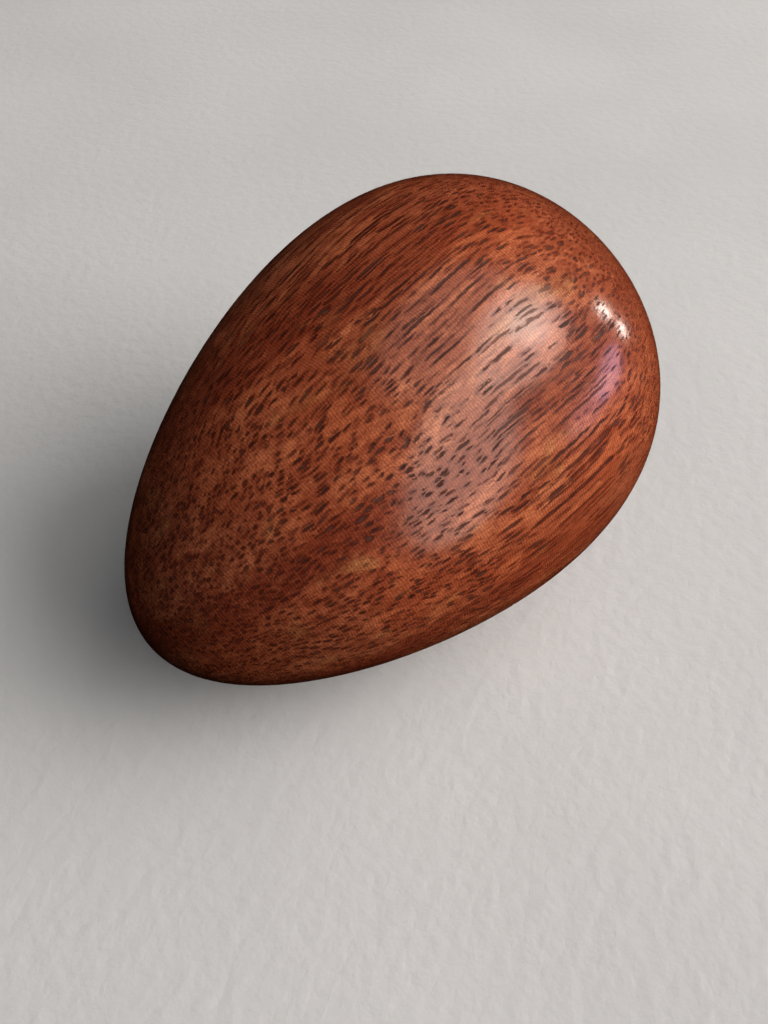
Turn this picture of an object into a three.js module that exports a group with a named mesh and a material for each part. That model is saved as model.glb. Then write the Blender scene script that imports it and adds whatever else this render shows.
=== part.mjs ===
// A turned wooden egg shaker, lying at rest on its side. Millimetres, +Z up.
// The body is one piece of hardwood, hollowed through a hole in its blunt end. A wooden plug closes
// the hole, and loose steel shot rattles in the chamber.
// The egg is worked out along its own axis, small end at -X, then tipped to the pose it rests in.

import * as THREE from 'three';

// Outside of the egg
const HALF_LENGTH = 32;
const RADIUS_SCALE = 22.3;
const BLUNTNESS = 0.26;
const FULLNESS = 0.05;

// Chamber, hollowed to a smaller egg of the same form
const CHAMBER_HALF_LENGTH = 25.5;
const CHAMBER_RADIUS_SCALE = 17.2;

// Mouth and plug in the blunt end
const MOUTH_RADIUS = 10;
const GLUE_GAP = 0.2;
const PLUG_LENGTH = 10;
const PLUG_CHAMFER = 0.8;

// Loose steel shot
const SHOT_DIAMETER = 4.5;
const SHOT_COUNT = 36;
const SHOT_PITCH = 4.85;
const WALL_GAP = 0.3;

// The small end dips by this much, which puts the centre of mass over the flat that meets the table
const REST_TILT = THREE.MathUtils.degToRad(12.5);

// Facets: flats round the egg, and bands from tip to tip
const SIDES = 32;
const OUTER_BANDS = 20;
const CHAMBER_BANDS = 16;
const SHOT_DETAIL = 2;
const FLAT_TO_CORNER = 1 / Math.cos(Math.PI / SIDES);
const WALL_SAMPLES = 720;
const BISECTIONS = 40;

const woodMaterial = new THREE.MeshStandardMaterial({ color: 0x8f3f22, roughness: 0.35, metalness: 0 });
const plugMaterial = new THREE.MeshStandardMaterial({ color: 0x7d351d, roughness: 0.38, metalness: 0 });
const shotMaterial = new THREE.MeshStandardMaterial({ color: 0xb9bcc0, roughness: 0.25, metalness: 1 });

// The egg curve: angle 0 is the blunt tip and PI is the small tip.
function eggX(angle, halfLength) {
  return halfLength * Math.cos(angle);
}

function eggRadius(angle, radiusScale) {
  const c = Math.cos(angle);
  return radiusScale * Math.sin(angle) * (1 + BLUNTNESS * c + FULLNESS * c * c);
}

// The value between low and high where test turns from true to false.
function lastTrue(low, high, test) {
  for (let i = 0; i < BISECTIONS; i++) {
    const middle = (low + high) / 2;
    if (test(middle)) low = middle;
    else high = middle;
  }
  return (low + high) / 2;
}

// The angle on the blunt side where the egg curve has this radius.
function angleAtRadius(radius, radiusScale) {
  return lastTrue(0, Math.PI / 4, (angle) => eggRadius(angle, radiusScale) < radius);
}

// The middle of the band whose flat lies level once the egg is tipped to its rest pose.
function restAngle() {
  const half = Math.PI / OUTER_BANDS / 2;
  const slope = (angle) => {
    const rise = eggRadius(angle - half, RADIUS_SCALE) - eggRadius(angle + half, RADIUS_SCALE);
    return rise / (eggX(angle - half, HALF_LENGTH) - eggX(angle + half, HALF_LENGTH));
  };
  return lastTrue(Math.PI / 4, Math.PI * 0.75, (angle) => slope(angle) < Math.tan(REST_TILT));
}

// Points of an egg curve between two angles, as (distance from the axis, place along the axis).
function eggPoint(angle, halfLength, radiusScale) {
  return new THREE.Vector2(eggRadius(angle, radiusScale), eggX(angle, halfLength));
}

function axisPoint(x) {
  return new THREE.Vector2(0, x);
}

// Band edges on the outside, spaced evenly either side of the resting flat.
function outerAngles() {
  const step = Math.PI / OUTER_BANDS;
  const first = (restAngle() + step / 2) % step;
  const angles = [];
  for (let angle = first; angle < Math.PI - step / 4; angle += step) {
    if (angle > step / 4) angles.push(angle);
  }
  return angles;
}

// Turns a profile about the egg's axis, with a flat facing straight down.
function turned(profile) {
  const corners = profile.map((p) => new THREE.Vector2(p.x * FLAT_TO_CORNER, p.y));
  const geometry = new THREE.LatheGeometry(corners, SIDES, Math.PI / SIDES);
  geometry.rotateZ(-Math.PI / 2);
  return geometry;
}

// The body: in from the small tip along the chamber, out through the mouth, and back round the outside.
function bodyGeometry() {
  const chamberMouth = angleAtRadius(MOUTH_RADIUS, CHAMBER_RADIUS_SCALE);
  const outerMouth = angleAtRadius(MOUTH_RADIUS, RADIUS_SCALE);
  const profile = [axisPoint(-HALF_LENGTH)];
  for (const angle of outerAngles().reverse()) {
    if (angle > outerMouth) profile.push(eggPoint(angle, HALF_LENGTH, RADIUS_SCALE));
  }
  profile.push(eggPoint(outerMouth, HALF_LENGTH, RADIUS_SCALE));
  for (let i = 0; i < CHAMBER_BANDS; i++) {
    const angle = THREE.MathUtils.lerp(chamberMouth, Math.PI, i / CHAMBER_BANDS);
    profile.push(eggPoint(angle, CHAMBER_HALF_LENGTH, CHAMBER_RADIUS_SCALE));
  }
  profile.push(axisPoint(-CHAMBER_HALF_LENGTH));
  return turned(profile);
}

// The plug: chamfered inside the chamber, straight through the mouth, and turned flush with the egg.
function plugGeometry() {
  const radius = MOUTH_RADIUS - GLUE_GAP;
  const innerEnd = HALF_LENGTH - PLUG_LENGTH;
  const rim = angleAtRadius(radius, RADIUS_SCALE);
  const profile = [axisPoint(innerEnd)];
  profile.push(new THREE.Vector2(radius - PLUG_CHAMFER, innerEnd));
  profile.push(new THREE.Vector2(radius, innerEnd + PLUG_CHAMFER));
  profile.push(eggPoint(rim, HALF_LENGTH, RADIUS_SCALE));
  profile.push(eggPoint(rim * 2 / 3, HALF_LENGTH, RADIUS_SCALE));
  profile.push(eggPoint(rim / 3, HALF_LENGTH, RADIUS_SCALE));
  profile.push(axisPoint(HALF_LENGTH));
  return turned(profile);
}

// How far a point is from the chamber's wall, by its place along the axis and its distance from it.
function wallDistance(x, fromAxis) {
  let nearest = Infinity;
  for (let i = 0; i <= WALL_SAMPLES; i++) {
    const angle = Math.PI * i / WALL_SAMPLES;
    const dx = x - eggX(angle, CHAMBER_HALF_LENGTH);
    const dr = fromAxis - eggRadius(angle, CHAMBER_RADIUS_SCALE);
    nearest = Math.min(nearest, Math.hypot(dx, dr));
  }
  return nearest;
}

// Whether a ball centred here, in the tipped egg, is clear of the chamber's wall.
function ballIsClear(position) {
  const p = position.clone().applyAxisAngle(new THREE.Vector3(0, 1, 0), REST_TILT);
  const fromAxis = Math.hypot(p.y, p.z);
  const along = THREE.MathUtils.clamp(p.x / CHAMBER_HALF_LENGTH, -1, 1);
  const inside = fromAxis < eggRadius(Math.acos(along), CHAMBER_RADIUS_SCALE);
  return inside && wallDistance(p.x, fromAxis) > SHOT_DIAMETER / 2 + WALL_GAP;
}

// The lowest height of a ball at this place in plan, or null where no ball fits.
function floorHeight(x, y) {
  const middle = new THREE.Vector3(x, y, x * Math.tan(REST_TILT));
  if (!ballIsClear(middle)) return null;
  return -lastTrue(-middle.z, CHAMBER_HALF_LENGTH, (depth) => ballIsClear(new THREE.Vector3(x, y, -depth)));
}

// Where the shot lies: one layer of rows in hexagonal order, filled from the lowest places up.
function shotPositions() {
  const reach = Math.ceil(CHAMBER_HALF_LENGTH / SHOT_PITCH);
  const places = [];
  for (let row = -reach; row <= reach; row++) {
    for (let column = -reach; column <= reach; column++) {
      const x = (column + (row % 2) / 2) * SHOT_PITCH;
      const y = row * SHOT_PITCH * Math.sqrt(3) / 2;
      const z = floorHeight(x, y);
      if (z !== null) places.push(new THREE.Vector3(x, y, z));
    }
  }
  places.sort((a, b) => a.z - b.z || a.x - b.x || a.y - b.y);
  return places.slice(0, SHOT_COUNT);
}

function namedMesh(name, geometry, material) {
  const mesh = new THREE.Mesh(geometry, material);
  mesh.name = name;
  return mesh;
}

// The wooden pieces, tipped to the pose that the egg rests in.
function tippedEgg() {
  const egg = new THREE.Group();
  egg.add(namedMesh('shell_body', bodyGeometry(), woodMaterial));
  egg.add(namedMesh('end_plug', plugGeometry(), plugMaterial));
  egg.rotation.y = -REST_TILT;
  return egg;
}

function looseShot() {
  const shot = new THREE.Group();
  shotPositions().forEach((position, i) => {
    const geometry = new THREE.IcosahedronGeometry(SHOT_DIAMETER / 2, SHOT_DETAIL);
    const ball = namedMesh(`shot_${String(i + 1).padStart(2, '0')}`, geometry, shotMaterial);
    ball.position.copy(position);
    shot.add(ball);
  });
  return shot;
}

// The origin is on the table, under the middle of the egg's box.
const shaker = new THREE.Group();
shaker.add(tippedEgg());
shaker.add(looseShot());
shaker.updateMatrixWorld(true);
const box = new THREE.Box3().setFromObject(shaker, true);
shaker.position.set(-(box.min.x + box.max.x) / 2, 0, -box.min.z);

export default shaker;
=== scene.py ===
"""Looks of the turned wooden egg shaker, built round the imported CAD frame. Metres, +Z up."""
import math

import bmesh
import bpy
from mathutils import Matrix, Vector


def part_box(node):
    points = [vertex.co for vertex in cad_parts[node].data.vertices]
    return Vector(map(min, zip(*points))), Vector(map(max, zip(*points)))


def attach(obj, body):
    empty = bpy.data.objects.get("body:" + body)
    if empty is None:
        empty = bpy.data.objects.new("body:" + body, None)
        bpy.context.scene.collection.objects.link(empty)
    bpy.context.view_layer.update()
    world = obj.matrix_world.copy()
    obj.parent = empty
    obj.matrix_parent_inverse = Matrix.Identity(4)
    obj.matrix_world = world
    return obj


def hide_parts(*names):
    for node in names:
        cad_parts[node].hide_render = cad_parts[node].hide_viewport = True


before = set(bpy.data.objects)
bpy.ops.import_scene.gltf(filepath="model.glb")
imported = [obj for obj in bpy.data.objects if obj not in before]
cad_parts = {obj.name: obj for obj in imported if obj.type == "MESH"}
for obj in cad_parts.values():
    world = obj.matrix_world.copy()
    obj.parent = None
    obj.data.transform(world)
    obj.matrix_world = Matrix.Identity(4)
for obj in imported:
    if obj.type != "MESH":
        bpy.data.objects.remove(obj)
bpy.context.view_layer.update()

MM = 0.001
TO_MM = (1000, 1000, 1000)

# The egg, as turned: the curve of its outside and of its chamber
HALF_LENGTH = 32 * MM
RADIUS_SCALE = 22.3 * MM
CHAMBER_HALF_LENGTH = 25.5 * MM
CHAMBER_RADIUS_SCALE = 17.2 * MM
BLUNTNESS = 0.26
FULLNESS = 0.05
REST_TILT = math.radians(12.5)

# The plugged hole in the blunt end; the seam is a fine V round the plug
MOUTH_RADIUS = 10 * MM
PLUG_RADIUS = 9.95 * MM
PLUG_LENGTH = 10 * MM
PLUG_CHAMFER = 0.8 * MM
SEAM_BEVEL = 0.06 * MM
MOUTH_EDGE = 0.3 * MM

SHOT_RADIUS = 2.25 * MM

# Mesh density: flats round the egg, steps along its curves, and cuts of a ball's cube
SIDES = 288
OUTER_STEPS = 200
CHAMBER_STEPS = 90
MOUTH_STEPS = 14
PLUG_FACE_STEPS = 40
SHOT_CUTS = 12
OUTLINE_SAMPLES = 720
BISECTIONS = 50

# The photograph's camera: its direction and distance from the egg's middle, how far right of and
# above the middle of the view the egg's middle lies, and its sensor and lens in millimetres
CAMERA_AZIMUTH = math.radians(41.29)
CAMERA_ELEVATION = math.radians(54)
CAMERA_DISTANCE = 91.16 * MM
EGG_RIGHT = -0.287 * MM
EGG_UP = 6.910 * MM
SENSOR = 36
LENS = 29.11
NEAR_CLIP = 0.005
FAR_CLIP = 20

# Floor and backdrop. The backdrop's places are the height of a unit vector that points at them.
FLOOR_RADIUS = 1.1
FLOOR_SIDES = 96
HORIZON_BRIGHTNESS = 0.26
OVERHEAD_BRIGHTNESS = 0.07
OVERHEAD_FROM = 0.30
DARK_UNDER = -0.35
LIT_OVER = -0.12
BACKDROP_TINT = (0.94, 0.96, 1.0, 1)

# Lamps. A softbox is made of layers, each this many times its size.
LIGHT_DISTANCE = 1.5
SOFTBOX_LAYERS = (0.50, 0.80, 1.10, 1.38)
WARM = (1.0, 0.88, 0.80)
PLAIN = (1.0, 0.92, 0.86)
COOL = (1.0, 0.96, 0.93)
VIOLET = (0.76, 0.64, 1.0)

LONG_AXIS = Vector((math.cos(REST_TILT), 0, math.sin(REST_TILT)))


def egg_middle():
    """The middle of the egg curve: half a length in from the small tip of the CAD body."""
    points = [v.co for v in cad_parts["shell_body"].data.vertices]
    tip = min(points, key=lambda p: p.dot(LONG_AXIS))
    return tip + LONG_AXIS * HALF_LENGTH


EGG_MIDDLE = egg_middle()


# ---------------------------------------------------------------- camera, floor and light

def camera_axes():
    """The camera's right, up and backward directions."""
    a, e = CAMERA_AZIMUTH, CAMERA_ELEVATION
    right = Vector((math.cos(a), -math.sin(a), 0))
    back = Vector((-math.cos(e) * math.sin(a), -math.cos(e) * math.cos(a), math.sin(e)))
    return right, back.cross(right), back


def add_camera():
    right, up, back = camera_axes()
    data = bpy.data.cameras.new("photo_camera")
    data.sensor_width = SENSOR
    data.lens = LENS
    data.clip_start = NEAR_CLIP
    data.clip_end = FAR_CLIP
    camera = bpy.data.objects.new("photo_camera", data)
    bpy.context.scene.collection.objects.link(camera)
    place = EGG_MIDDLE - right * EGG_RIGHT - up * EGG_UP + back * CAMERA_DISTANCE
    turn = Matrix((right, up, back)).transposed()
    camera.matrix_world = Matrix.Translation(place) @ turn.to_4x4()
    bpy.context.scene.camera = camera


def add_lamp(name, azimuth, elevation, size, brightness, colour, seen="gloss"):
    """An area light that faces the egg from this direction. Its size is in degrees as the egg sees it.
    It is seen in the gloss or it lights the diffuse colour, so that each can be placed on its own."""
    a, e = math.radians(azimuth), math.radians(elevation)
    out = Vector((math.cos(e) * math.cos(a), math.cos(e) * math.sin(a), math.sin(e)))
    width, height = (2 * LIGHT_DISTANCE * math.tan(math.radians(degrees) / 2) for degrees in size)
    data = bpy.data.lights.new(name, "AREA")
    data.shape = "ELLIPSE"
    data.size = width
    data.size_y = height
    area = math.pi * width * height / 4
    data.energy = brightness * math.pi * area
    data.color = colour
    light = bpy.data.objects.new(name, data)
    bpy.context.scene.collection.objects.link(light)
    light.rotation_mode = "QUATERNION"
    light.rotation_quaternion = out.to_track_quat("Z", "Y")
    light.location = EGG_MIDDLE + out * LIGHT_DISTANCE
    light.visible_camera = False
    light.visible_glossy = seen == "gloss"
    light.visible_diffuse = seen == "diffuse"


def add_softbox(name, azimuth, elevation, size, brightness, colour, seen="gloss"):
    """A soft-edged area light: nested lamps that share its brightness."""
    for i, grown in enumerate(SOFTBOX_LAYERS):
        layer = (size[0] * grown, size[1] * grown)
        share = brightness / len(SOFTBOX_LAYERS)
        add_lamp(f"{name}_{i + 1}", azimuth, elevation, layer, share, colour, seen)


def add_backdrop():
    """A soft grey gradient all round: pale at the horizon, dim above, and dark well below it."""
    world = bpy.data.worlds.new("studio")
    bpy.context.scene.world = world
    world.use_nodes = True
    sky = NodeTree(world.node_tree)
    height = parts(sky, sky.add("ShaderNodeTexCoord", {}).outputs["Generated"])["Z"]
    above = sky.step(height, 0.0, OVERHEAD_FROM, HORIZON_BRIGHTNESS, OVERHEAD_BRIGHTNESS)
    below = sky.step(height, DARK_UNDER, LIT_OVER)
    background = sky.tree.nodes["Background"]
    sky.feed(background.inputs["Color"], BACKDROP_TINT)
    sky.feed(background.inputs["Strength"], sky.math("MULTIPLY", above, below))
    world.cycles_visibility.glossy = False


def add_lights():
    """Each light's azimuth, elevation and size in degrees, its brightness, and its colour.
    The diffuse ones light the wood's colour, and the others are the highlights in its gloss."""
    add_softbox("key", -49, 53, (32, 27), 12.0, PLAIN)
    add_softbox("key_core", -43, 52, (12, 13), 15.5, PLAIN)
    add_softbox("window", -99, 27, (24, 52), 9.6, WARM)
    add_softbox("overhead", -50, 80, (38, 36), 2.8, COOL)
    add_softbox("violet_glow", -38, 7.5, (16, 9), 10.2, VIOLET)
    add_softbox("violet_tail", -55, 7, (16, 9), 4.6, VIOLET)
    add_lamp("low_lamp", -17.5, 15, (3.8, 8.6), 21, WARM)
    add_lamp("lower_lamp", -17.7, 3.5, (3.9, 6.2), 16, WARM)
    add_softbox("side_fill", -51, 28, (45, 40), 15.9, PLAIN, "diffuse")
    add_softbox("right_fill", -28, 44, (40, 40), 5.6, PLAIN, "diffuse")
    add_softbox("top_fill", -72, 68, (40, 40), 3.2, COOL, "diffuse")
    add_softbox("left_bounce", 155, 6, (50, 20), 1.1, COOL, "diffuse")
    add_softbox("back_fill", 70, 1, (60, 16), 1.5, COOL, "diffuse")


def floor_height():
    """The lowest point of the tipped egg, from the outline in the upright plane through its axis."""
    upward = LONG_AXIS.cross(Vector((0, 1, 0)))
    angles = [math.pi * (i + 0.5) / OUTLINE_SAMPLES for i in range(OUTLINE_SAMPLES)]
    return min((EGG_MIDDLE + LONG_AXIS * egg_x(a) - upward * egg_radius(a)).z for a in angles)


def add_floor():
    """A round pale floor. It gives no reflections or bounce light, which would wash out the wood."""
    mesh = bpy.data.meshes.new("floor")
    floor = bpy.data.objects.new("floor", mesh)
    bpy.context.scene.collection.objects.link(floor)
    model = bmesh.new()
    bmesh.ops.create_circle(model, cap_ends=True, segments=FLOOR_SIDES, radius=FLOOR_RADIUS)
    model.to_mesh(mesh)
    model.free()
    floor.location.z = floor_height()
    mesh.materials.append(floor_material())
    floor.visible_glossy = False
    floor.visible_diffuse = False


# ---------------------------------------------------------------- turned shapes

def egg_x(angle, half_length=HALF_LENGTH):
    """How far along its axis the egg curve is. Angle 0 is the blunt tip and pi is the small tip."""
    return half_length * math.cos(angle)


def egg_radius(angle, radius_scale=RADIUS_SCALE):
    c = math.cos(angle)
    return radius_scale * math.sin(angle) * (1 + BLUNTNESS * c + FULLNESS * c * c)


def angle_at_radius(radius, radius_scale):
    """The angle on the blunt side where the egg curve has this radius."""
    low, high = 0, math.pi / 4
    for _ in range(BISECTIONS):
        middle = (low + high) / 2
        if egg_radius(middle, radius_scale) < radius:
            low = middle
        else:
            high = middle
    return (low + high) / 2


def spread(first, last, steps):
    """Values from first to last, in this many equal steps."""
    return [first + (last - first) * i / steps for i in range(steps + 1)]


def turned(name, profile, lacquered):
    """A solid turned from (along, radius) points that start and end on the axis.
    The points before place `lacquered` in the profile carry lacquer, which the material reads."""
    model = bmesh.new()
    lacquer = model.verts.layers.float.new("lacquer")
    rings = []
    for i, (along, radius) in enumerate(profile):
        count = 1 if i in (0, len(profile) - 1) else SIDES
        ring = []
        for j in range(count):
            turn = math.tau * j / SIDES
            vert = model.verts.new((along, radius * math.cos(turn), radius * math.sin(turn)))
            vert[lacquer] = 1.0 if i < lacquered else 0.0
            ring.append(vert)
        rings.append(ring)
    for one, two in zip(rings, rings[1:]):
        for j in range(SIDES):
            k = (j + 1) % SIDES
            corners = [one[j % len(one)], two[j % len(two)], two[k % len(two)], one[k % len(one)]]
            face = model.faces.new(list(dict.fromkeys(corners)))
            face.smooth = True
    bmesh.ops.recalc_face_normals(model, faces=model.faces)
    bmesh.ops.rotate(model, verts=model.verts, matrix=Matrix.Rotation(-REST_TILT, 3, "Y"))
    bmesh.ops.translate(model, verts=model.verts, vec=EGG_MIDDLE)
    mesh = bpy.data.meshes.new(name)
    model.to_mesh(mesh)
    model.free()
    piece = bpy.data.objects.new(name, mesh)
    bpy.context.scene.collection.objects.link(piece)
    return piece


def build_shell():
    """The body: from the small tip round the outside to the mouth, in, and round the chamber."""
    rim = angle_at_radius(MOUTH_RADIUS + SEAM_BEVEL, RADIUS_SCALE)
    profile = [(egg_x(a), egg_radius(a)) for a in spread(math.pi, rim, OUTER_STEPS)]
    rim_x = profile[-1][0]
    profile.append((rim_x - SEAM_BEVEL, MOUTH_RADIUS))
    lacquered = len(profile)
    inner = angle_at_radius(MOUTH_RADIUS + MOUTH_EDGE, CHAMBER_RADIUS_SCALE)
    inner_x = egg_x(inner, CHAMBER_HALF_LENGTH)
    for along in spread(rim_x - 2 * SEAM_BEVEL, inner_x + MOUTH_EDGE, MOUTH_STEPS):
        profile.append((along, MOUTH_RADIUS))
    for a in spread(inner, math.pi, CHAMBER_STEPS):
        profile.append((egg_x(a, CHAMBER_HALF_LENGTH), egg_radius(a, CHAMBER_RADIUS_SCALE)))
    profile[0] = (profile[0][0], 0)
    profile[-1] = (profile[-1][0], 0)
    shell = turned("turned_body", profile, lacquered)
    shell.data.materials.append(wood_material("polished_wood", BODY_WOOD))
    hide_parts("shell_body")
    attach(shell, "shell")


def build_plug():
    """The plug: flush end face, a straight side in the mouth, and a chamfered inner end."""
    rim = angle_at_radius(PLUG_RADIUS - SEAM_BEVEL, RADIUS_SCALE)
    rim_x = egg_x(rim)
    inner_x = HALF_LENGTH - PLUG_LENGTH
    profile = [(egg_x(a), egg_radius(a)) for a in spread(0, rim, PLUG_FACE_STEPS)]
    profile.append((rim_x - SEAM_BEVEL, PLUG_RADIUS))
    lacquered = len(profile)
    for along in spread(rim_x - 2 * SEAM_BEVEL, inner_x + PLUG_CHAMFER, MOUTH_STEPS):
        profile.append((along, PLUG_RADIUS))
    for radius in spread(PLUG_RADIUS - PLUG_CHAMFER, 0, MOUTH_STEPS):
        profile.append((inner_x, radius))
    profile[0] = (profile[0][0], 0)
    plug = turned("turned_plug", profile, lacquered)
    plug.data.materials.append(wood_material("plug_end_grain", PLUG_WOOD))
    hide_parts("end_plug")
    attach(plug, "shell")


def build_shot():
    """Steel balls, each a subdivided cube blown up to a sphere, where the CAD balls lie."""
    names = sorted(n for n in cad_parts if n.startswith("shot_"))
    material = steel_material()
    for name in names:
        low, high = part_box(name)
        middle = (low + high) / 2
        model = bmesh.new()
        bmesh.ops.create_cube(model, size=2)
        bmesh.ops.subdivide_edges(model, edges=model.edges, cuts=SHOT_CUTS, use_grid_fill=True)
        for vert in model.verts:
            vert.co = middle + vert.co.normalized() * SHOT_RADIUS
        for face in model.faces:
            face.smooth = True
        mesh = bpy.data.meshes.new("steel_" + name)
        model.to_mesh(mesh)
        model.free()
        mesh.materials.append(material)
        ball = bpy.data.objects.new("steel_" + name, mesh)
        bpy.context.scene.collection.objects.link(ball)
        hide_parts(name)
        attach(ball, "ball_" + name[-2:])


# ---------------------------------------------------------------- materials

class NodeTree:
    """Builds a tree of nodes; each method adds a node, and most return its output."""

    def __init__(self, tree):
        self.tree = tree

    def add(self, kind, values, **settings):
        node = self.tree.nodes.new(kind)
        for key, value in settings.items():
            setattr(node, key, value)
        for socket, value in values.items():
            self.feed(node.inputs[socket], value)
        return node

    def feed(self, socket, value):
        """Gives a socket its value: another node's output, or a number, vector or colour."""
        if isinstance(value, bpy.types.NodeSocket):
            self.tree.links.new(value, socket)
        else:
            socket.default_value = value

    def math(self, operation, *values):
        return self.add("ShaderNodeMath", dict(enumerate(values)), operation=operation).outputs[0]

    def vector(self, operation, *values, **settings):
        node = self.add("ShaderNodeVectorMath", dict(enumerate(values)), operation=operation, **settings)
        return node.outputs[0]

    def scaled(self, vector, x, y, z):
        return self.vector("MULTIPLY", vector, (x, y, z))

    def noise(self, vector, scale=1.0, detail=2.0, roughness=0.5):
        values = {"Vector": vector, "Scale": scale, "Detail": detail, "Roughness": roughness}
        return self.add("ShaderNodeTexNoise", values)

    def step(self, value, low, high, to_low=0.0, to_high=1.0):
        """A smooth step from to_low to to_high as the value goes from low to high."""
        values = {"Value": value, "From Min": low, "From Max": high, "To Min": to_low, "To Max": to_high}
        node = self.add("ShaderNodeMapRange", values, interpolation_type="SMOOTHSTEP")
        return node.outputs["Result"]

    def mix(self, factor, one, two, blend="MIX"):
        """A colour that goes from one to two as the factor goes from 0 to 1.
        The node's colour sockets are inputs 6 and 7 and output 2."""
        node = self.add("ShaderNodeMix", {}, data_type="RGBA", blend_type=blend)
        self.feed(node.inputs["Factor"], factor)
        self.feed(node.inputs[6], one)
        self.feed(node.inputs[7], two)
        return node.outputs[2]

    def bump(self, height, distance, strength=1.0):
        values = {"Height": height, "Distance": distance, "Strength": strength}
        return self.add("ShaderNodeBump", values).outputs["Normal"]


class Shader(NodeTree):
    """One material, whose surface takes its values by socket name."""

    def __init__(self, name):
        self.material = bpy.data.materials.new(name)
        self.material.use_nodes = True
        super().__init__(self.material.node_tree)
        self.surface = self.tree.nodes["Principled BSDF"]

    def set(self, socket, value):
        self.feed(self.surface.inputs[socket], value)


def colour(red, green, blue):
    return (red, green, blue, 1.0)


# The two pieces of wood: where each was cut from, how its growth rings lie, and how dark it is
BODY_WOOD = {
    "offset": (0.0, 0.0, 0.0),
    "ring_turn": math.radians(-42),
    "tone": 1.0,
}
PLUG_WOOD = {
    "offset": (0.0, 63.7, 41.3),
    "ring_turn": math.radians(35),
    "tone": 0.86,
}

TAN = colour(0.510, 0.188, 0.092)
ORANGE = colour(0.430, 0.132, 0.058)
GOLD = colour(0.430, 0.215, 0.085)
RED = colour(0.180, 0.037, 0.018)
DEEP_RED = colour(0.082, 0.013, 0.006)
PORE = colour(0.036, 0.007, 0.003)
PORE_FILL = colour(0.130, 0.062, 0.040)

# From here on, lengths in the wood are in millimetres.

# Growth bands: their pitch, the radius that they curve to and how far they are shifted outwards;
# and the pitch of the ripple marks
RING_PITCH = 15.5
RING_CURVE = 85.0
RING_SHIFT = 2.0
RIPPLE_PITCH = 0.275

# Vessels: how far apart they stand, how wide they are, and the share that is missing
WIDE_VESSELS = {"pitch": 0.60, "radius": (0.092, 0.166), "missing": 0.08}
NARROW_VESSELS = {"pitch": 0.43, "radius": (0.064, 0.112), "missing": 0.38}
VESSEL_SCATTER = 0.92
NARROW_SHIFT = (31.7, 12.9, 0)

# Soft edges, from inside a vessel's wall to outside it: its opening, its dark halo and its filling
OPENING_EDGE = (-0.040, 0.014)
HALO_EDGE = (-0.02, 0.17)
FILLING_EDGE = (-0.09, -0.03)

# Figures in the wood: how fast each varies along and across the grain, in cycles a millimetre
FIBRES = {"along": 0.20, "across": 2.2, "detail": 4.0, "roughness": 0.68}
MOTTLE = {"along": 1.0, "across": 3.4, "detail": 3.0, "roughness": 0.6}
SPECKS = {"along": 5.0, "across": 9.0, "detail": 1.0}
DOTS = {"along": 4.0, "across": 4.5, "roughness": 0.6}
PATCHES = {"along": 0.06, "across": 0.10}
GOLD_PATCHES = {"along": 0.14, "across": 0.30}
CLOUDS = {"along": 0.22, "across": 0.62, "detail": 3.0, "roughness": 0.55}
VESSEL_LENGTHS = {"along": 0.6, "across": 1.6, "detail": 3.0}
RIPPLE_SWAY = {"along": 0.10, "across": 0.20}
RIPPLE_JITTER = {"along": 1.2, "across": 2.0}
RAYS = {"along": 1.3, "across": 2.6}
WAX = {"along": 0.30, "across": 0.30, "detail": 3.0}
PEEL = {"along": 1.7, "across": 1.7}

# Stretches of the egg's axis over which its ends change: the small tip is at -32, the blunt at 32
CROWDED_BLUNT_END = (14.0, 26.0)
SLIM_SMALL_END = (-27.0, 0.0)
SLIM_BLUNT_END = (12.0, 24.0)
FAINT_BANDS = (-2.0, 12.0)
DOTTED_SMALL_END = (-26.0, -12.0)
DOTTED_BLUNT_END = (8.0, 22.0)
RED_BLUNT_END = (14.0, 28.0)
# The last two darken the wood towards the ends: partly the end grain's darker tone, partly painted shade
# where the light falls off.
SMALL_END_GRAIN_AND_SHADE = (-30.0, -5.0)
BLUNT_END_GRAIN_AND_SHADE = (14.0, 30.0)

RELIEF = 0.02 * MM

STEEL = colour(0.60, 0.60, 0.61)
HAZY_STEEL = colour(0.46, 0.455, 0.45)
WOOD_DUST = colour(0.22, 0.10, 0.06)
SCRATCH_DEPTH = 0.004 * MM

FLOOR_GREY = colour(0.49, 0.505, 0.515)
PALER_FLOOR_GREY = colour(0.52, 0.535, 0.545)
FLOOR_STIPPLE = 0.3 * MM


def grain_place(shader, wood):
    """The place in the wood in millimetres: x along the grain, y across the growth rings, z along them."""
    place = shader.add("ShaderNodeTexCoord", {}).outputs["Object"]
    place = shader.vector("SUBTRACT", place, tuple(EGG_MIDDLE))
    tip = {"Vector": place, "Center": (0, 0, 0), "Angle": REST_TILT}
    place = shader.add("ShaderNodeVectorRotate", tip, rotation_type="Y_AXIS").outputs[0]
    turn = {"Vector": place, "Center": (0, 0, 0), "Angle": wood["ring_turn"]}
    place = shader.add("ShaderNodeVectorRotate", turn, rotation_type="X_AXIS").outputs[0]
    return shader.vector("ADD", shader.scaled(place, *TO_MM), wood["offset"])


def parts(shader, vector):
    """A vector's X, Y and Z, by name."""
    return shader.add("ShaderNodeSeparateXYZ", {"Vector": vector}).outputs


def grain_noise(shader, place, figure):
    """Smooth noise from 0 to 1, stretched along the grain as the figure says."""
    stretched = shader.scaled(place, figure["along"], figure["across"], figure["across"])
    detail = figure.get("detail", 2.0)
    return shader.noise(stretched, 1.0, detail, figure.get("roughness", 0.5)).outputs["Fac"]


def swing(shader, place, frequency, reach, detail=1.0):
    """A random offset of up to about `reach` millimetres, that varies this fast."""
    tone = shader.noise(shader.vector("MULTIPLY", place, frequency), 1.0, detail).outputs["Color"]
    return shader.vector("MULTIPLY", shader.vector("SUBTRACT", tone, (0.5, 0.5, 0.5)), reach)


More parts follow.
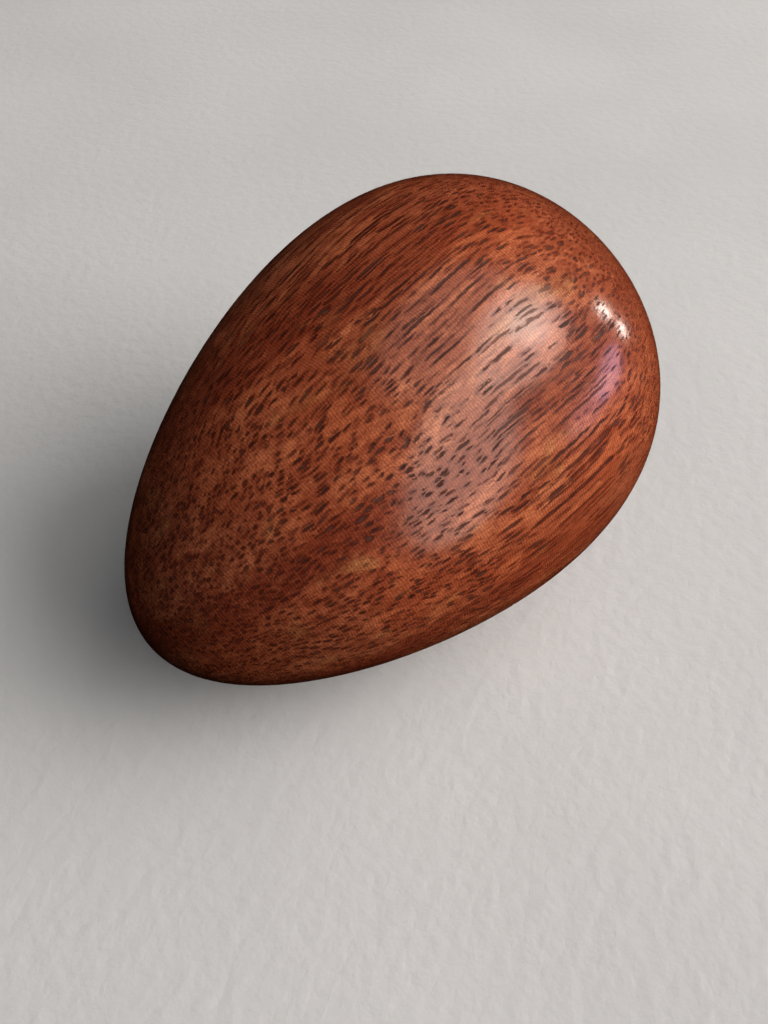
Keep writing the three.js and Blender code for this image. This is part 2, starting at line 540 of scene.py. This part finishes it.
def growth_rings(shader, place):
    """How far a place is into a dark growth band, 0 to 1, and a finer figure inside the bands."""
    place = shader.vector("ADD", place, swing(shader, place, (0.05, 0.12, 0.12), (0, 5, 5), 2.0))
    across = shader.scaled(shader.vector("ADD", place, (0, RING_CURVE, 0)), 0, 1, 1)
    ring = shader.add("ShaderNodeVectorMath", {0: across}, operation="LENGTH").outputs["Value"]
    ring = shader.math("SUBTRACT", ring, RING_CURVE + RING_SHIFT)
    wave = shader.math("COSINE", shader.math("MULTIPLY", ring, math.tau / RING_PITCH))
    band = shader.step(wave, 0.45, 1.0)
    line = shader.add("ShaderNodeCombineXYZ", {"X": ring}).outputs[0]
    fine = shader.noise(line, 1.3, 3.0, 0.6).outputs["Fac"]
    return band, fine


def crowding(shader, place, band):
    """Where the vessels crowd and the wood darkens, 0 to 1: in patches drawn out along the grain,
    more in the growth bands, and most at the blunt end."""
    blunt = shader.step(parts(shader, place)["X"], *CROWDED_BLUNT_END, 0.0, 0.12)
    cloud = grain_noise(shader, place, CLOUDS)
    cloud = shader.math("ADD", cloud, shader.math("MULTIPLY", band, 0.10))
    return shader.step(shader.math("ADD", cloud, blunt), 0.36, 0.58)


def vessel_layer(shader, across, slimmer, crowded, kind):
    """Round vessels scattered in the plane across the grain: (open, dark halo, filled), each 0 to 1.
    Each cell of the pattern may hold one, and it fades out at the cell's edge, so none is cut off."""
    values = {"Vector": across, "Scale": 1 / kind["pitch"], "Randomness": VESSEL_SCATTER}
    cell = shader.add("ShaderNodeTexVoronoi", values, voronoi_dimensions="2D")
    edge = shader.add("ShaderNodeTexVoronoi", values, voronoi_dimensions="2D", feature="DISTANCE_TO_EDGE")
    distance = shader.math("MULTIPLY", cell.outputs["Distance"], kind["pitch"])
    chance = shader.add("ShaderNodeSeparateColor", {"Color": cell.outputs["Color"]}).outputs
    radius = shader.step(chance[0], 0.0, 1.0, kind["radius"][0], kind["radius"][1])
    gap = shader.math("ADD", shader.math("SUBTRACT", distance, radius), slimmer)

    missing = shader.step(crowded, 0.0, 1.0, kind["missing"] + 0.35, kind["missing"])
    present = shader.step(shader.math("SUBTRACT", chance[1], missing), 0.0, 0.12)
    present = shader.math("MULTIPLY", present, shader.step(chance[2], 0.0, 0.7, 0.50, 1.0))
    present = shader.math("MULTIPLY", present, shader.step(edge.outputs["Distance"], 0.0, 0.11))
    opening = shader.math("MULTIPLY", shader.step(gap, *OPENING_EDGE, 1.0, 0.0), present)
    halo = shader.math("MULTIPLY", shader.step(gap, *HALO_EDGE, 1.0, 0.0), present)

    filled = shader.step(gap, *FILLING_EDGE, 1.0, 0.3)
    filled = shader.math("MULTIPLY", filled, shader.step(chance[2], 0.70, 0.80))
    return opening, halo, filled


def vessels(shader, place, crowded):
    """Wide and narrow vessels that run along the grain and wander: (open, dark halo, filled).
    They are slimmer towards both ends, and they come and go along their length."""
    bent = shader.vector("ADD", place, swing(shader, place, (0.07, 0.12, 0.12), (0, 2.4, 2.4)))
    bent = shader.vector("ADD", bent, swing(shader, place, (1.0, 0.9, 0.9), (0, 0.26, 0.26)))
    bent = shader.vector("ADD", bent, swing(shader, place, (3.5, 6.5, 6.5), (0, 0.16, 0.16), 2.0))
    plane = parts(shader, bent)
    across = shader.add("ShaderNodeCombineXYZ", {"X": plane["Y"], "Y": plane["Z"]}).outputs[0]

    along = parts(shader, place)["X"]
    slimmer_small = shader.step(along, *SLIM_SMALL_END, 0.030, 0.0)
    slimmer_blunt = shader.step(along, *SLIM_BLUNT_END, 0.0, 0.036)
    slimmer = shader.math("ADD", slimmer_small, slimmer_blunt)
    wide = vessel_layer(shader, across, slimmer, crowded, WIDE_VESSELS)
    shifted = shader.vector("ADD", across, NARROW_SHIFT)
    narrow = vessel_layer(shader, shifted, slimmer, crowded, NARROW_VESSELS)
    opening, halo, filled = (shader.math("MAXIMUM", one, two) for one, two in zip(wide, narrow))
    seen = shader.step(grain_noise(shader, bent, VESSEL_LENGTHS), 0.32, 0.50, 0.35, 1.0)
    return shader.math("MULTIPLY", opening, seen), shader.math("MULTIPLY", halo, seen), filled


def ripple_marks(shader, place):
    """Storied rays: fine rows across the grain, nearly straight and broken up. Runs from 0 to 1."""
    sway = grain_noise(shader, place, RIPPLE_SWAY)
    jitter = grain_noise(shader, place, RIPPLE_JITTER)
    along = parts(shader, place)["X"]
    along = shader.math("ADD", along, shader.math("MULTIPLY", sway, 1.4))
    along = shader.math("ADD", along, shader.math("MULTIPLY", jitter, 0.20))
    wave = shader.math("SINE", shader.math("MULTIPLY", along, math.tau / RIPPLE_PITCH))
    strength = shader.step(grain_noise(shader, place, RAYS), 0.30, 0.64, 0.10, 1.0)
    wave = shader.math("MULTIPLY", wave, strength)
    return shader.math("ADD", shader.math("MULTIPLY", wave, 0.5), 0.5)


def stain(shader, base, tint, amount, strength):
    """Mixes a tint into a colour: none of it where the amount is 0, and this share where it is 1."""
    return shader.mix(shader.math("MULTIPLY", amount, strength), base, tint)


def shade(shader, base, amount, low, high):
    """Multiplies a colour by a grey that goes from low to high as the amount goes from 0 to 1."""
    grey = shader.step(amount, 0.0, 1.0, low, high)
    grey = shader.add("ShaderNodeCombineXYZ", {"X": grey, "Y": grey, "Z": grey}).outputs[0]
    return shader.mix(1.0, base, grey, "MULTIPLY")


def clear_wood(shader, place, golden):
    """The wood between its figures: tan and orange, with golden patches."""
    base = shader.mix(shader.step(grain_noise(shader, place, PATCHES), 0.35, 0.65), TAN, ORANGE)
    return stain(shader, base, GOLD, golden, 0.60)


def redden(shader, base, place, rings, crowded, fibres):
    """Adds the red figures: crowded patches, fibre streaks, mottle and growth bands."""
    band, fine = rings
    streak = shader.math("ADD", shader.math("MULTIPLY", fibres, 0.65), shader.math("MULTIPLY", fine, 0.35))
    mottle = grain_noise(shader, place, MOTTLE)
    band = shader.math("MULTIPLY", band, shader.step(fibres, 0.30, 0.60, 0.30, 1.0))
    band = shader.math("MULTIPLY", band, shader.step(parts(shader, place)["X"], *FAINT_BANDS, 1.0, 0.3))
    base = stain(shader, base, RED, crowded, 0.48)
    base = stain(shader, base, RED, shader.step(streak, 0.42, 0.66), 0.45)
    base = stain(shader, base, RED, shader.step(mottle, 0.44, 0.64), 0.46)
    return stain(shader, base, RED, band, 0.66)


def redden_ends(shader, base, place):
    """Adds red dots at both ends, where the fibres are cut across, and deepens the blunt end."""
    along = parts(shader, place)["X"]
    blunt = shader.step(along, *DOTTED_BLUNT_END)
    small = shader.step(along, *DOTTED_SMALL_END, 1.0, 0.0)
    dots = shader.step(grain_noise(shader, place, DOTS), 0.36, 0.50, 1.0, 0.0)
    dots = shader.math("MULTIPLY", dots, shader.math("MAXIMUM", blunt, small))
    base = stain(shader, base, RED, dots, 0.55)
    return stain(shader, base, RED, shader.step(along, *RED_BLUNT_END), 0.22)


def shade_wood(shader, base, place, ripple):
    """Lightens and darkens the wood by its ripple marks and specks, and darkens both ends: partly the end
    grain's own darker tone, partly painted shade for the light falling off towards the ends.
    """
    along = parts(shader, place)["X"]
    specks = shader.step(grain_noise(shader, place, SPECKS), 0.30, 0.70)
    base = shade(shader, base, ripple, 0.80, 1.17)
    base = shade(shader, base, specks, 0.84, 1.14)
    # Darker towards both ends: partly end grain, partly painted shade for the light falling off there.
    base = shade(shader, base, shader.step(along, *SMALL_END_GRAIN_AND_SHADE), 0.62, 1.0)
    return shade(shader, base, shader.step(along, *BLUNT_END_GRAIN_AND_SHADE), 1.0, 0.76)


def open_pores(shader, base, place, pores, filled, golden):
    """Darkens the open vessels. Some are filled with a paler dust, most of all in golden patches."""
    filled = shader.math("MULTIPLY", filled, 0.5)
    filled = shader.math("MAXIMUM", filled, shader.math("MULTIPLY", golden, 0.9))
    inside = shader.mix(filled, PORE, PORE_FILL)
    depth = shader.step(parts(shader, place)["X"], *CROWDED_BLUNT_END, 0.96, 0.54)
    return shader.mix(shader.math("MULTIPLY", pores, depth), base, inside)


def lacquer_wood(shader, place, pores):
    """A satin lacquer that is thin over the vessels, and bare dull wood where the mesh carries none."""
    lacquer = shader.add("ShaderNodeAttribute", {}, attribute_name="lacquer").outputs["Fac"]
    bare = shader.math("SUBTRACT", 1.0, lacquer)
    satin = shader.step(grain_noise(shader, place, WAX), 0.25, 0.75, 0.10, 0.15)
    satin = shader.math("ADD", satin, shader.math("MULTIPLY", pores, 0.45))
    cover = shader.step(pores, 0.0, 0.7, 0.85, 0.12)
    shader.set("Roughness", shader.math("ADD", satin, shader.math("MULTIPLY", bare, 0.35)))
    shader.set("Coat Weight", shader.math("MULTIPLY", lacquer, cover))
    shader.set("Coat Roughness", 0.20)
    shader.set("Coat IOR", 1.5)
    shader.set("Specular IOR Level", 0.18)


def wood_relief(shader, place, ripple, pores, fibres):
    """Sinks the vessels, raises the ripple and fibres a little, and leaves the lacquer slightly uneven."""
    height = shader.math("SUBTRACT", shader.math("MULTIPLY", ripple, 0.10), pores)
    height = shader.math("ADD", height, shader.math("MULTIPLY", fibres, 0.12))
    peel = grain_noise(shader, place, PEEL)
    height = shader.math("ADD", height, shader.math("MULTIPLY", peel, 0.55))
    shader.set("Normal", shader.bump(height, RELIEF))


def wood_material(name, wood):
    """Lacquered mahogany-like wood, solid all through, so every cut face shows its own grain."""
    shader = Shader(name)
    place = grain_place(shader, wood)
    rings = growth_rings(shader, place)
    crowded = crowding(shader, place, rings[0])
    pores, halo, filled = vessels(shader, place, crowded)
    ripple = ripple_marks(shader, place)
    fibres = grain_noise(shader, place, FIBRES)
    golden = shader.step(grain_noise(shader, place, GOLD_PATCHES), 0.60, 0.72)

    base = clear_wood(shader, place, golden)
    base = redden(shader, base, place, rings, crowded, fibres)
    base = redden_ends(shader, base, place)
    base = stain(shader, base, DEEP_RED, halo, 0.86)
    base = shade_wood(shader, base, place, ripple)
    base = open_pores(shader, base, place, pores, filled, golden)
    base = shader.mix(1.0, base, colour(*[wood["tone"]] * 3), "MULTIPLY")
    shader.set("Base Color", base)
    lacquer_wood(shader, place, pores)
    wood_relief(shader, place, ripple, pores, fibres)
    return shader.material


def steel_material():
    """Ground and tumbled steel: fine random scratches, with dull specks of wood dust."""
    shader = Shader("tumbled_steel")
    place = shader.scaled(shader.add("ShaderNodeTexCoord", {}).outputs["Object"], *TO_MM)
    haze = shader.noise(place, 1.1, 3.0).outputs["Fac"]
    scratch = shader.noise(shader.scaled(place, 2.0, 26.0, 5.0), 1.0, 2.0).outputs["Fac"]
    dust = shader.step(shader.noise(place, 4.5, 4.0, 0.65).outputs["Fac"], 0.60, 0.68)
    tone = shader.mix(shader.step(haze, 0.35, 0.65), STEEL, HAZY_STEEL)
    dull = shader.math("ADD", shader.step(haze, 0.3, 0.7, 0.14, 0.26), shader.math("MULTIPLY", dust, 0.4))
    shader.set("Base Color", shader.mix(dust, tone, WOOD_DUST))
    shader.set("Metallic", shader.math("SUBTRACT", 1.0, shader.math("MULTIPLY", dust, 0.9)))
    shader.set("Roughness", dull)
    shader.set("Normal", shader.bump(scratch, SCRATCH_DEPTH))
    return shader.material


def floor_material():
    """A pale painted board, with a faint roller texture."""
    shader = Shader("pale_floor")
    place = shader.scaled(shader.add("ShaderNodeTexCoord", {}).outputs["Object"], *TO_MM)
    mottle = shader.noise(place, 0.02, 3.0).outputs["Fac"]
    stipple = shader.noise(place, 0.55, 3.0).outputs["Fac"]
    shader.set("Base Color", shader.mix(shader.step(mottle, 0.3, 0.7), FLOOR_GREY, PALER_FLOOR_GREY))
    shader.set("Roughness", 0.85)
    shader.set("Specular IOR Level", 0.15)
    shader.set("Normal", shader.bump(stipple, FLOOR_STIPPLE, 0.55))
    return shader.material


add_camera()
build_shell()
build_plug()
build_shot()
add_floor()
add_backdrop()
add_lights()
bpy.context.scene.view_settings.view_transform = "Standard"
bpy.context.scene.view_settings.look = "Medium High Contrast"
